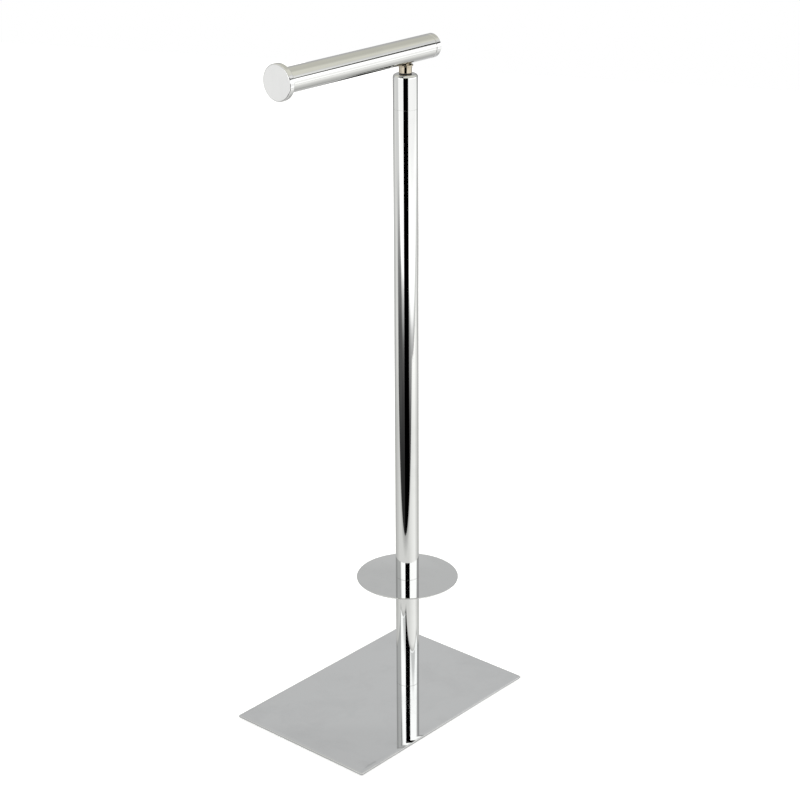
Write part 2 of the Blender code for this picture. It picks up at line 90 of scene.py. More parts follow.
# %% [markdown]
# ## Outlines with real edges
#
# No edge on a polished part is knife sharp. Each one is a small round that catches a thin line of
# light, and that line is most of what tells an eye that it sees metal. A bevel modifier could round
# the finished mesh, but on a turned piece it is simpler to round the outline before it is spun. The
# helper takes corners as (radius, height, rounding) and puts an arc in each. It also keeps a narrow
# border beside every arc, so that smooth shading leaves the flats flat.

# %% Round the corners of an outline
border = 0.00012


def rounded_outline(corners, closed, steps=6):
    points = []
    last = len(corners) - 1
    for index, (radius, height, rounding) in enumerate(corners):
        here = Vector((radius, height))
        if rounding == 0 or (not closed and index in (0, last)):
            points.append(here)
            continue
        before = Vector(corners[index - 1][:2]) - here
        after = Vector(corners[(index + 1) % len(corners)][:2]) - here
        before.normalize()
        after.normalize()
        half = before.angle(after) / 2
        middle = here + (before + after).normalized() * rounding / math.sin(half)
        tangent = rounding / math.tan(half)
        start = here + before * tangent - middle
        sweep = start.angle_signed(here + after * tangent - middle)
        points.append(here + before * (tangent + border))
        for step in range(steps + 1):
            turn = Matrix.Rotation(-sweep * step / steps, 2)
            points.append(middle + turn @ start)
        points.append(here + after * (tangent + border))
    return points


print("a square corner becomes", len(rounded_outline([(0, 0, 0), (1, 0, 0.1), (1, 1, 0)], False)), "points")

# %% [markdown]
# ## Turning on the lathe
#
# The real pieces come off a lathe, and so do these: the outline is spun about the axis in 160 even
# steps, or fewer where nobody looks. A Screw modifier could do it, but here the vertices are also
# moved to their place in the world while the object itself stays at the origin. That keeps the
# texture coordinates of all pieces in one frame, in metres. Points on the axis stay single, so a
# solid piece closes with a fan.

# %% Spin an outline into a piece
fine_sides = 160
coarse_sides = 64
sharp_angle = math.radians(38)
on_the_axis = 1e-7


def finished_piece(name, bm):
    bmesh.ops.recalc_face_normals(bm, faces=bm.faces)
    mesh = bpy.data.meshes.new(name)
    bm.to_mesh(mesh)
    bm.free()
    mesh.shade_smooth()
    mesh.set_sharp_from_angle(angle=sharp_angle)
    piece = bpy.data.objects.new(name, mesh)
    bpy.context.scene.collection.objects.link(piece)
    return piece


def turned_piece(name, outline, closed, place, sides=fine_sides):
    bm = bmesh.new()
    loops = []
    for radius, height in outline:
        if radius < on_the_axis:
            loops.append([bm.verts.new(place @ Vector((0, 0, height)))])
            continue
        loop = []
        for side in range(sides):
            turn = 2 * math.pi * side / sides
            spot = Vector((radius * math.cos(turn), radius * math.sin(turn), height))
            loop.append(bm.verts.new(place @ spot))
        loops.append(loop)
    pairs = list(zip(loops, loops[1:]))
    if closed:
        pairs.append((loops[-1], loops[0]))
    for here, there in pairs:
        for side in range(sides):
            after = (side + 1) % sides
            corners = [here[side % len(here)], here[after % len(here)]]
            corners += [there[after % len(there)], there[side % len(there)]]
            bm.faces.new(list(dict.fromkeys(corners)))
    return finished_piece(name, bm)


def stands_for(piece, node, body):
    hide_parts(node)
    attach(piece, body)
    print(piece.name, "stands for", node, "with", len(piece.data.polygons), "faces")
    return piece


flat_by = column_radius * (1 - math.cos(math.pi / fine_sides))
print("the column's sides are flat by", round(flat_by * 1e6, 1), "thousandths of a millimetre")

# %% [markdown]
# ## The column
#
# The column is two lengths of tube with a thin disc clamped between them, and a short finial on top.
# The solids keep a gap of 0.3 mm between neighbours, but on the real holder they are screwed tight
# and only a hairline shows. So each tube is drawn out until a hairline is left.

# %% Turn the two tubes
seat_gap = 0.0003
hairline = 0.00006
tube_wall = 0.0012
tube_edge = 0.00006
plate_low, plate_high = reach("base_plate")
disc_low, disc_high = reach("storage_disc")
finial_high = reach("finial")[1]


def column_tube(name, bottom, top):
    bore = column_radius - tube_wall
    corners = [
        (bore, bottom, 0),
        (column_radius, bottom, tube_edge),
        (column_radius, top, tube_edge),
        (bore, top, 0),
    ]
    outline = rounded_outline(corners, closed=True, steps=3)
    piece = turned_piece(name, outline, True, up_the_column)
    return stands_for(piece, name.replace("chromed_", ""), "stand")


lower_tube = column_tube("chromed_lower_tube", plate_high.z + hairline, disc_low.z - hairline)
main_tube = column_tube("chromed_main_tube", disc_high.z + hairline, tube_high.z)

# %% [markdown]
# ## The storage disc
#
# The disc is sheet metal a little over a millimetre thick. Its rim is polished round, which shows as
# a fine bright line where it meets the eye. It is the widest round piece, so it gets more sides than
# the others.

# %% Turn the storage disc
disc_radius = (disc_high.x - disc_low.x) / 2
disc_bore = 0.0043
disc_rim = 0.0004
disc_sides = 240
disc_corners = [
    (disc_bore, disc_low.z, 0),
    (disc_radius, disc_low.z, disc_rim),
    (disc_radius, disc_high.z, disc_rim),
    (disc_bore, disc_high.z, 0),
]
disc_outline = rounded_outline(disc_corners, closed=True, steps=5)
storage_disc = turned_piece("chromed_storage_disc", disc_outline, True, up_the_column, disc_sides)
stands_for(storage_disc, "storage_disc", "stand")

# %% [markdown]
# ## The finial
#
# The finial is the column's top piece. It has the tube's own diameter, so that only a hairline tells
# where it starts, and a soft shoulder at the top. It is bored for the pivot and hollow below, where
# it screws onto the tube's spigot. One outline holds all of this, the shoulder's arc with 14 steps.

# %% Turn the finial
shoulder = 0.0032
cavity_radius = 0.00855
web_height = 0.010
bush_seat_radius = 0.0056
finial_foot = tube_high.z + hairline
finial_web = finial_high.z - web_height
finial_corners = [
    (cavity_radius, finial_foot, 0),
    (column_radius, finial_foot, tube_edge),
    (column_radius, finial_high.z, shoulder),
    (bush_seat_radius, finial_high.z, 0),
    (bush_seat_radius, finial_web, 0),
    (cavity_radius, finial_web, 0),
]
finial_outline = rounded_outline(finial_corners, closed=True, steps=14)
finial = turned_piece("chromed_finial", finial_outline, True, up_the_column)
stands_for(finial, "finial", "stand")

# %% [markdown]
# ## The pivot's bush
#
# A flanged nylon bush lines the finial's bore, and the neck turns in it. Of the bush only the rim of
# its flange shows, as a dark line under the neck. It could be joined from two cylinders, but one
# outline gives the flange, the sleeve and the bore in a single clean mesh.

# %% Turn the bush
bush_low, bush_high = reach("pivot_bush")
flange_radius = (bush_high.x - bush_low.x) / 2
flange_foot = finial_high.z + hairline
flange_edge = 0.0001
pivot_bore = 0.0043
bush_outside = 0.0053
bush_corners = [
    (pivot_bore, bush_low.z, 0),
    (bush_outside, bush_low.z, 0),
    (bush_outside, flange_foot, 0),
    (flange_radius, flange_foot, flange_edge),
    (flange_radius, bush_high.z, flange_edge),
    (pivot_bore, bush_high.z, 0),
]
bush_outline = rounded_outline(bush_corners, closed=True, steps=3)
pivot_bush = turned_piece("nylon_pivot_bush", bush_outline, True, up_the_column)
stands_for(pivot_bush, "pivot_bush", "stand")

# %% [markdown]
# ## The neck
#
# The neck is the slim post that carries the bar. It ends below in a spindle and above in a thread,
# both out of sight. They are drawn as plain cylinders, because a modelled thread would cost
# thousands of faces that nobody sees.

# %% Turn the neck
neck_low, neck_high = reach("neck_post")
collar_low, collar_high = reach("neck_collar")
neck_radius = (neck_high.x - neck_low.x) / 2
neck_edge = 0.0004
spindle_radius = 0.004
thread_radius = 0.003
thread_tip = 0.0006
neck_foot = bush_high.z + hairline
neck_head = collar_low.z - hairline
spindle_foot = finial_web - seat_gap
neck_corners = [
    (0, neck_low.z, 0),
    (thread_radius, neck_low.z, thread_tip),
    (thread_radius, spindle_foot, 0),
    (spindle_radius, spindle_foot, 0),
    (spindle_radius, neck_foot, 0),
    (neck_radius, neck_foot, neck_edge),
    (neck_radius, neck_head, neck_edge),
    (spindle_radius, neck_head, 0),
    (spindle_radius, neck_high.z, thread_tip),
    (0, neck_high.z, 0),
]
neck_outline = rounded_outline(neck_corners, closed=False)
neck_post = turned_piece("nickel_neck_post", neck_outline, False, up_the_column)
stands_for(neck_post, "neck_post", "bar_arm")

# %% [markdown]
# ## The collar
#
# A thin collar lies between the neck and the bar. It could be a step in the neck's own outline, but
# it is a ring by itself on the real holder, with round edges and a hairline under it.

# %% Turn the collar
collar_radius = (collar_high.x - collar_low.x) / 2
collar_edge = 0.0006
collar_corners = [
    (pivot_bore, collar_low.z, 0),
    (collar_radius, collar_low.z, collar_edge),
    (collar_radius, collar_high.z, collar_edge),
    (pivot_bore, collar_high.z, 0),
]
collar_outline = rounded_outline(collar_corners, closed=True)
neck_collar = turned_piece("nickel_neck_collar", collar_outline, True, up_the_column)
stands_for(neck_collar, "neck_collar", "bar_arm")

# %% [markdown]
# ## The bar
#
# The bar is a length of tube with a solid piece pressed into each end. At the free end sits the roll
# stop, a flat round cap that is wider than the bar. At the short end sits a button of the bar's own
# diameter. The outlines are drawn along the bar's axis, with zero at the column.

# %% Turn the bar tube
bar_wall = 0.0012
stop_end_edge = 0.00015
button_end_edge = 0.0008
bar_start = bar_low.x - column_x
bar_end = bar_high.x - column_x
bar_corners = [
    (bar_radius - bar_wall, bar_start, 0),
    (bar_radius, bar_start, stop_end_edge),
    (bar_radius, bar_end, button_end_edge),
    (bar_radius - bar_wall, bar_end, 0),
]
bar_outline = rounded_outline(bar_corners, closed=True, steps=3)
bar_tube = turned_piece("chromed_bar_tube", bar_outline, True, along_the_bar)
stands_for(bar_tube, "bar_tube", "bar_arm")

# %% [markdown]
# The stop's face is flat nearly to its rim, where a wide soft edge begins. Eight steps in that edge
# keep its highlight smooth. The spigot that holds the stop in the bar is drawn as well, although no
# one sees it there.

# %% Turn the roll stop
stop_low, stop_high = reach("roll_stop")
stop_radius = (stop_high.z - stop_low.z) / 2
stop_face = stop_low.x - column_x
stop_back = bar_start - hairline
stop_spigot_end = stop_high.x - column_x
stop_face_edge = 0.0011
stop_back_edge = 0.001
spigot_radius = 0.0105
spigot_edge = 0.0008
stop_corners = [
    (0, stop_face, 0),
    (stop_radius, stop_face, stop_face_edge),
    (stop_radius, stop_back, stop_back_edge),
    (spigot_radius, stop_back, 0),
    (spigot_radius, stop_spigot_end, spigot_edge),
    (0, stop_spigot_end, 0),
]
stop_outline = rounded_outline(stop_corners, closed=False, steps=8)
roll_stop = turned_piece("chromed_roll_stop", stop_outline, False, along_the_bar)
stands_for(roll_stop, "roll_stop", "bar_arm")

# %% [markdown]
# The button closes the bar's short end. It has the bar's own diameter and a soft edge, and a fine
# ring line is all that tells where it starts.

# %% Turn the end button
button_low, button_high = reach("end_button")
button_gap = 0.0001
button_seam = bar_end + button_gap
button_face = button_high.x - column_x
button_spigot_end = button_low.x - column_x
button_edge = 0.0006
button_corners = [
    (0, button_spigot_end, 0),
    (spigot_radius, button_spigot_end, spigot_edge),
    (spigot_radius, button_seam, 0),
    (bar_radius, button_seam, button_edge),
    (bar_radius, button_face, button_edge),
    (0, button_face, 0),
]
button_outline = rounded_outline(button_corners, closed=False)
end_button = turned_piece("chromed_end_button", button_outline, False, along_the_bar)
stands_for(end_button, "end_button", "bar_arm")

# %% [markdown]
# ## Underneath
#
# Nobody sees the underside in use, but it is there when the holder is picked up. Four thin rubber
# pads keep the steel off the floor. They could be copies of one object, but each has to stand for
# its own solid, so a loop turns one mesh for each.

# %% Turn the pads
pad_foot_edge = 0.0003
pad_top_edge = 0.0002
pad_top = plate_low.z - hairline
for pad_name in ("pad_front_left", "pad_front_right", "pad_rear_left", "pad_rear_right"):
    pad_low, pad_high = reach(pad_name)
    pad_middle = (pad_low + pad_high) / 2
    pad_place = Matrix.Translation((pad_middle.x, pad_middle.y, 0))
    pad_radius = (pad_high.x - pad_low.x) / 2
    pad_corners = [(0, pad_low.z, 0), (pad_radius, pad_low.z, pad_foot_edge)]
    pad_corners += [(pad_radius, pad_top, pad_top_edge), (0, pad_top, 0)]
    pad_outline = rounded_outline(pad_corners, closed=False, steps=4)
    pad = turned_piece("rubber_" + pad_name, pad_outline, False, pad_place, coarse_sides)
    stands_for(pad, pad_name, "stand")

# %% [markdown]
# A countersunk screw holds the column from below. Its head is a narrow rim and a cone, and its
# thread is left out like the neck's.

# %% Turn the screw
screw_low, screw_high = reach("base_screw")
head_radius = (screw_high.x - screw_low.x) / 2
shank_radius = 0.003
head_edge = 0.00005
head_rim = 0.0003
head_top = screw_low.z + head_rim + head_radius - shank_radius
screw_corners = [
    (0, screw_low.z, 0),
    (head_radius, screw_low.z, head_edge),
    (head_radius, screw_low.z + head_rim, 0),
    (shank_radius, head_top, 0),
    (shank_radius, screw_high.z, thread_tip),
    (0, screw_high.z, 0),
]
screw_outline = rounded_outline(screw_corners, closed=False, steps=3)
base_screw = turned_piece("steel_base_screw", screw_outline, False, up_the_column, coarse_sides)
stands_for(base_screw, "base_screw", "stand")

# %% [markdown]
# The screw's hexagon socket could be built into the mesh by hand. A Boolean modifier is quicker and
# suits a single hole in a flat face. It leaves its new edges smooth, so an Edge Split modifier after
# it makes them sharp again.

# %% Cut the screw's socket
key_width = 0.004
socket_sides = 6
socket_radius = key_width / 2 / math.cos(math.pi / socket_sides)
socket_depth = 0.0022
cut_overrun = 0.001
socket_corners = [
    (0, screw_low.z - cut_overrun, 0),
    (socket_radius, screw_low.z - cut_overrun, 0),
    (socket_radius, screw_low.z + socket_depth, 0),
    (0, screw_low.z + socket_depth, 0),
]
socket_outline = rounded_outline(socket_corners, closed=False)
socket_cutter = turned_piece("socket_cutter", socket_outline, False, up_the_column, socket_sides)
socket_cutter.hide_render = True
socket_cutter.hide_viewport = True
socket_cutter.display_type = "WIRE"
socket_cutter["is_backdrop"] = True
socket_cut = base_screw.modifiers.new("cut the socket", "BOOLEAN")
socket_cut.operation = "DIFFERENCE"
socket_cut.solver = "EXACT"
socket_cut.object = socket_cutter
base_screw.modifiers.new("sharpen the cut", "EDGE_SPLIT").split_angle = sharp_angle
print("socket for a", round(key_width * 1000, 1), "mm key,", round(socket_depth * 1000, 1), "mm deep")

# %% [markdown]
# ## The base plate
#
# The plate is 2 mm steel with sheared, nearly square corners and a countersunk hole. A Boolean could
# cut the hole, but it can leave faults in a large mirror. So the rim is a stack of rounded
# rectangles, the hole is a stack of rings, and each flat face is filled between a rectangle and a
# ring.

# %% Helpers for rectangles and rings of vertices
plate_middle = (plate_low + plate_high) / 2
plate_length = plate_high.x - plate_low.x
plate_width = plate_high.y - plate_low.y
plate_corner = 0.0012
corner_steps = 8


def plate_loop(bm, inset, height):
    loop = []
    for quarter, (x_side, y_side) in enumerate(((1, 1), (-1, 1), (-1, -1), (1, -1))):
        x_middle = plate_middle.x + x_side * (plate_length / 2 - plate_corner - inset)
        y_middle = plate_middle.y + y_side * (plate_width / 2 - plate_corner - inset)
        for step in range(corner_steps + 1):
            turn = math.pi / 2 * (quarter + step / corner_steps)
            x = x_middle + plate_corner * math.cos(turn)
            y = y_middle + plate_corner * math.sin(turn)
            loop.append(bm.verts.new((x, y, height)))
    return loop


def hole_loop(bm, radius, height):
    turns = [2 * math.pi * side / coarse_sides for side in range(coarse_sides)]
    spots = [(column_x + radius * math.cos(turn), radius * math.sin(turn), height) for turn in turns]
    return [bm.verts.new(spot) for spot in spots]


def join_loops(bm, loops):
    for lower, upper in zip(loops, loops[1:]):
        for index, corner in enumerate(lower):
            after = (index + 1) % len(lower)
            bm.faces.new((corner, lower[after], upper[after], upper[index]))


def fill_between(bm, *loops):
    edges = []
    for loop in loops:
        edges += [bm.edges.get((a, b)) for a, b in zip(loop, loop[1:] + loop[:1])]
    bmesh.ops.triangle_fill(bm, use_beauty=True, edges=edges)


print("the plate is", [round(side * 1000, 2) for side in plate_high - plate_low], "mm")

# %% [markdown]
# The shears push the metal up a little along the cut, and buffing leaves it as a low, soft lip. The
# eye would miss it but for what it mirrors: in the photograph the column's mirror image curls
# sideways in it, just before the edge. The lip is a flat parabola with a rounded crest. Its 18 steps
# keep the bent reflections smooth.

# %% Stack the plate
lower_edge = 0.0003
lower_steps = 3
lip_width = 0.0048
lip_rise = 0.00014
lip_round = 0.0007
crest = plate_high.z + lip_rise
crest_steps = 5
lip_steps = 18
levels = [(lower_edge + border, plate_low.z)]
for step in range(lower_steps + 1):
    turn = math.pi / 2 * step / lower_steps
    levels.append((lower_edge * (1 - math.sin(turn)), plate_low.z + lower_edge * (1 - math.cos(turn))))
for step in range(crest_steps + 1):
    turn = math.pi / 2 * step / crest_steps
    levels.append((lip_round * (1 - math.cos(turn)), crest - lip_round * (1 - math.sin(turn))))
for step in range(1, lip_steps + 1):
    share = 1 - step / lip_steps
    inset = lip_width - (lip_width - lip_round) * share
    levels.append((inset, plate_high.z + lip_rise * share**2))
seat_levels = [
    (head_radius + seat_gap, plate_low.z),
    (head_radius + seat_gap, screw_low.z + head_rim),
    (shank_radius + seat_gap, head_top),
    (shank_radius + seat_gap, plate_high.z),
]
bm = bmesh.new()
rim_loops = [plate_loop(bm, inset, height) for inset, height in levels]
seat_loops = [hole_loop(bm, radius, height) for radius, height in seat_levels]
join_loops(bm, rim_loops)
join_loops(bm, seat_loops)
fill_between(bm, rim_loops[0], seat_loops[0])
fill_between(bm, rim_loops[-1], seat_loops[-1])
base_plate = finished_piece("chromed_base_plate", bm)
stands_for(base_plate, "base_plate", "stand")
print("its lip rises", round(lip_rise * 1000, 2), "mm in the last", round(lip_width * 1000, 1), "mm")

# %% [markdown]
# ## Node trees in few words
#
# Each finish below is a small tree of nodes. The trees could be wired by hand in the shader editor,
# but a script can be read from top to bottom and run again after a change. The first helpers start a
# material, feed a node's inputs with numbers or with other nodes, and add a node.

# %% Helpers that add nodes


def new_finish(name):
    finish = bpy.data.materials.new(name)
    finish.use_nodes = True
    return finish, finish.node_tree, finish.node_tree.nodes["Principled BSDF"]


def plug(tree, socket, value):
    if isinstance(value, bpy.types.NodeSocket):
        tree.links.new(value, socket)
    else:
        socket.default_value = value


def feed(tree, node, **feeds):
    for name, value in feeds.items():
        plug(tree, node.inputs[name.replace("_", " ")], value)


def add(tree, kind, settings=(), **feeds):
    node = tree.nodes.new(kind)
    for name, value in dict(settings).items():
        setattr(node, name, value)
    feed(tree, node, **feeds)
    return node


def combined(tree, kind, operation, one, other):
    node = add(tree, kind, {"operation": operation})
    plug(tree, node.inputs[0], one)
    plug(tree, node.inputs[1], other)
    return node.outputs[0]


print("materials that came with the solids:", len(bpy.data.materials))

# %% [markdown]
# The next helpers measure from a centre and lay out the coordinates of fine marks, either straight
# across one axis or in rings. Two more turn a grey value into another range or into steps of colour,
# and the last one dresses pieces in a finish.

# %% Helpers for marks, tones and dressing


def in_metres(tree):
    return add(tree, "ShaderNodeTexCoord").outputs["Object"]


def arm_from(tree, centre):
    return combined(tree, "ShaderNodeVectorMath", "SUBTRACT", in_metres(tree), centre)


def length_of(tree, arm):
    return add(tree, "ShaderNodeVectorMath", {"operation": "LENGTH"}, Vector=arm).outputs["Value"]


def marks_across(tree, stretch):
    return combined(tree, "ShaderNodeVectorMath", "MULTIPLY", in_metres(tree), stretch)


def marks_in_rings(tree, centre, keep, pitch):
    arm = combined(tree, "ShaderNodeVectorMath", "MULTIPLY", arm_from(tree, centre), keep)
    scaled = combined(tree, "ShaderNodeMath", "MULTIPLY", length_of(tree, arm), pitch)
    return add(tree, "ShaderNodeCombineXYZ", X=scaled).outputs["Vector"]


def spread(tree, value, low, high, to_low, to_high):
    ranged = add(tree, "ShaderNodeMapRange", {"clamp": True}, Value=value)
    for name, number in zip(("From Min", "From Max", "To Min", "To Max"), (low, high, to_low, to_high)):
        ranged.inputs[name].default_value = number
    return ranged.outputs["Result"]


def colour_steps(tree, value, steps):
    ramp = add(tree, "ShaderNodeValToRGB", Fac=value)
    while len(ramp.color_ramp.elements) < len(steps):
        ramp.color_ramp.elements.new(0.5)
    for element, (position, colour) in zip(ramp.color_ramp.elements, steps):
        element.position = position
        element.color = (*colour, 1)
    return ramp.outputs["Color"]


def dress(finish, *wearers):
    for piece in wearers:
        piece.data.materials.append(finish)
    print(finish.name, "on", [piece.name for piece in wearers])


# %% [markdown]
# ## Polished chrome
#
# Chrome plate reflects a little over half of the light, evenly over the colours, so its base colour
# is a mid grey and not white. A perfect mirror would look computed. The real finish has four faults
# that can just be seen. The surface is not quite flat under the plate and bends straight reflections
# by a hair. The buffing wheel leaves very fine lines. Handling leaves a haze in soft patches, which
# only blurs the mirror a little. And the plate has a few specks. The direction of the buffing lines
# differs from piece to piece: around the tubes, along the plate, in rings on the disc and the stop.

# %% Mix the chrome finish
clean_blur = 0.02
line_blur = 0.025
smear_tint = 0.95
speck_grey = (0.25, 0.25, 0.25, 1)


def chrome_finish(name, tint, lay_marks, haze=0.04, waviness=0.0000016, mark_depth=0.0000001):
    finish, tree, shader = new_finish(name)
    place = in_metres(tree)
    patches = add(tree, "ShaderNodeTexNoise", Vector=place, Scale=22, Detail=6, Roughness=0.6, Distortion=0.4)
    smears = spread(tree, patches.outputs["Fac"], 0.46, 0.72, 0, 1)
    marks = add(tree, "ShaderNodeTexNoise", Vector=lay_marks(tree), Scale=1, Detail=3, Roughness=0.6)
    specks = add(tree, "ShaderNodeTexVoronoi", Vector=place, Scale=240)
    dots = spread(tree, specks.outputs["Distance"], 0.03, 0.09, 0.12, 0)
    tones = colour_steps(tree, smears, [(0, tint), (1, [part * smear_tint for part in tint])])
    spotted = add(tree, "ShaderNodeMixRGB", Fac=dots, Color1=tones, Color2=speck_grey)
    hazy = spread(tree, smears, 0, 1, clean_blur, clean_blur + haze)
    lined = spread(tree, marks.outputs["Fac"], 0.35, 0.7, 0, line_blur)
    blur = combined(tree, "ShaderNodeMath", "ADD", hazy, lined)
    waves = add(tree, "ShaderNodeTexNoise", Vector=place, Scale=85, Detail=1, Roughness=0.4)
    bent = add(tree, "ShaderNodeBump", Height=waves.outputs["Fac"], Strength=1, Distance=waviness)
    fine = add(tree, "ShaderNodeBump", Height=marks.outputs["Fac"], Strength=1, Distance=mark_depth)
    feed(tree, fine, Normal=bent.outputs["Normal"])
    feed(tree, shader, Base_Color=spotted.outputs["Color"], Metallic=1, Roughness=blur)
    feed(tree, shader, Normal=fine.outputs["Normal"])
    return finish


marks_per_metre = 4000
tube_streaks = 35
plate_streaks = 30
flat_haze = 0.06
tube_chrome = chrome_finish(
    "polished_tube_chrome",
    (0.605, 0.61, 0.6),
    lambda tree: marks_across(tree, (tube_streaks, tube_streaks, marks_per_metre)),
)
bar_chrome = chrome_finish(
    "polished_bar_chrome",
    (0.605, 0.608, 0.595),
    lambda tree: marks_across(tree, (marks_per_metre, tube_streaks, tube_streaks)),
)
plate_chrome = chrome_finish(
    "buffed_plate_chrome",
    (0.6, 0.608, 0.61),
    lambda tree: marks_across(tree, (plate_streaks, marks_per_metre, plate_streaks)),
    haze=flat_haze,
)
disc_chrome = chrome_finish(
    "buffed_disc_chrome",
    (0.595, 0.603, 0.6),
    lambda tree: marks_in_rings(tree, (column_x, 0, 0), (1, 1, 0), marks_per_metre),
    haze=flat_haze,
)
stop_chrome = chrome_finish(
    "faced_stop_chrome",
    (0.61, 0.612, 0.605),
    lambda tree: marks_in_rings(tree, (0, 0, bar_height), (0, 1, 1), marks_per_metre),
)
dress(tube_chrome, lower_tube, main_tube, finial)
dress(bar_chrome, bar_tube)
dress(plate_chrome, base_plate)
dress(disc_chrome, storage_disc)
dress(stop_chrome, roll_stop, end_button)

# %% [markdown]
# ## Turned nickel for the neck
#
# The neck and its collar look warmer and duller than the tubes in the photograph. They are small
# lathe parts that were nickel plated as they came off the tool, so fine turning rings still run
# round them. Rings like these smear a reflection up and down and leave it sharp sideways. That is
# anisotropic shine with its tangent laid round the column.

# %% Mix the nickel finish


def nickel_finish():
    finish, tree, shader = new_finish("turned_nickel")
    rings = add(tree, "ShaderNodeTexNoise", Vector=marks_across(tree, (40, 40, 3000)), Scale=1, Detail=2)
    tarnish = add(tree, "ShaderNodeTexNoise", Vector=in_metres(tree), Scale=260, Detail=4)
    tone_steps = [(0.35, (0.46, 0.415, 0.33)), (0.7, (0.38, 0.33, 0.25))]
    tones = colour_steps(tree, tarnish.outputs["Fac"], tone_steps)
    blur = spread(tree, rings.outputs["Fac"], 0.3, 0.7, 0.09, 0.15)
    bump = add(tree, "ShaderNodeBump", Height=rings.outputs["Fac"], Strength=1, Distance=0.000001)
    round_it = add(tree, "ShaderNodeTangent", {"direction_type": "RADIAL", "axis": "Z"})
    feed(tree, shader, Base_Color=tones, Metallic=1, Roughness=blur, Normal=bump.outputs["Normal"])
    feed(tree, shader, Tangent=round_it.outputs["Tangent"], Anisotropic=0.5, Anisotropic_Rotation=0.25)
    return finish


turned_nickel = nickel_finish()
dress(turned_nickel, neck_post, neck_collar)

# %% [markdown]
# ## Plain steel, nylon and rubber
#
# The pieces that only a spanner meets are zinc plated: duller than chrome, faintly blue and yellow
# in patches, with turning marks. The bush is black nylon with a slight sheen, and only its rim shows
# as a dark line under the neck. The pads are black rubber with a fine grain and some dust.

# %% Mix the other finishes


def plated_finish():
    finish, tree, shader = new_finish("zinc_plated_steel")
    clouds = add(tree, "ShaderNodeTexNoise", Vector=in_metres(tree), Scale=160, Detail=4, Roughness=0.6)
    marks = add(tree, "ShaderNodeTexNoise", Vector=marks_across(tree, (60, 60, 5000)), Scale=1, Detail=2)
    tone_steps = [(0.35, (0.52, 0.56, 0.62)), (0.68, (0.66, 0.64, 0.56))]
    tones = colour_steps(tree, clouds.outputs["Fac"], tone_steps)
    blur = spread(tree, marks.outputs["Fac"], 0.3, 0.7, 0.24, 0.42)
    bump = add(tree, "ShaderNodeBump", Height=marks.outputs["Fac"], Strength=1, Distance=0.000004)
    feed(tree, shader, Base_Color=tones, Metallic=1, Roughness=blur, Normal=bump.outputs["Normal"])
    return finish


def dark_finish(name, dark, light, fineness, blur_range, depth):
    finish, tree, shader = new_finish(name)
    grain = add(tree, "ShaderNodeTexNoise", Vector=in_metres(tree), Scale=fineness, Detail=4, Roughness=0.7)
    dust = add(tree, "ShaderNodeTexNoise", Vector=in_metres(tree), Scale=220, Detail=5, Roughness=0.7)
    tones = colour_steps(tree, dust.outputs["Fac"], [(0.45, dark), (0.8, light)])
    blur = spread(tree, grain.outputs["Fac"], 0.3, 0.7, *blur_range)
    bump = add(tree, "ShaderNodeBump", Height=grain.outputs["Fac"], Strength=1, Distance=depth)
    feed(tree, shader, Base_Color=tones, Roughness=blur, Normal=bump.outputs["Normal"])
    return finish


plated_steel = plated_finish()
black_nylon = dark_finish(
    "black_nylon",
    dark=(0.016, 0.016, 0.017),
    light=(0.03, 0.03, 0.03),
    fineness=900,
    blur_range=(0.36, 0.5),
    depth=0.00001,
)
pad_rubber = dark_finish(
    "black_pad_rubber",
    dark=(0.014, 0.014, 0.015),
    light=(0.06, 0.058, 0.054),
    fineness=1800,
    blur_range=(0.7, 0.9),
    depth=0.00004,
)
pads = [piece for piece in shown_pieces() if piece.name.startswith("rubber_")]
dress(plated_steel, base_screw)
dress(black_nylon, pivot_bush)
dress(pad_rubber, *pads)

# %% [markdown]
# ## The pieces inside
#
# Plugs, stud, slug, washers and nut are the right shape as they come, and the tubes hide them. They
# stay as they are and only their material slots get the zinc finish.

# %% Give the hidden solids their finish
for node_name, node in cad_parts.items():
    if node.hide_render:
        continue
    for slot in node.material_slots:
        slot.link = "OBJECT"
        slot.material = plated_steel
    print(node_name, "stays as packed, with", len(node.material_slots), "slot")

# %% [markdown]
# ## The studio
#
# Everything that the chrome shows has to stand somewhere. The photograph tells where: the reflections
# in the column and the bar were followed back to the places that they come from. A white table
# carries the holder, and its front edge runs past about 0.4 m in front of it. Two large soft panels
# stand beyond that edge, one to each side of the camera, and the gap between them is the dark room
# with the camera in it. That gap is the black stripe down the column. A dark frame bar across the
# panels is the thin line along the bar. Behind the holder hangs a grey background.
#
# The panels, the dark room and the background are left out of the camera's own view, because the
# photograph has a plain white ground. The world is white for the camera and for reflections.

# %% Helpers for places round the table
camera_x = -1.45264
camera_y = -1.26143
camera_side = Vector((camera_x, camera_y, 0)).normalized()
camera_turn = math.atan2(camera_side.y, camera_side.x)


def spot_round(radius, degrees):
    turn = camera_turn + math.radians(degrees)
    return (column_x + radius * math.cos(turn), radius * math.sin(turn))


def spots_round(radius, start, end, steps=48):
    return [spot_round(radius, start + (end - start) * step / steps) for step in range(steps + 1)]


print("the camera stands at", round(math.degrees(camera_turn), 1), "degrees round the column")

# %% [markdown]
# A wall here is a strip of upright faces that glows. Its texture coordinates run along it and up it,
# and two colour ramps set its tone by them. An area lamp would be simpler, but it has one even tone,
# and chrome would show that.

# %% Helpers for glowing walls


def grey(strength):
    return (strength, strength, strength)


def warm(strength):
    return (strength * 1.01, strength, strength * 0.9)


def bare_finish(name):
    finish = bpy.data.materials.new(name)
    finish.use_nodes = True
    finish.node_tree.nodes.clear()
    return finish, finish.node_tree


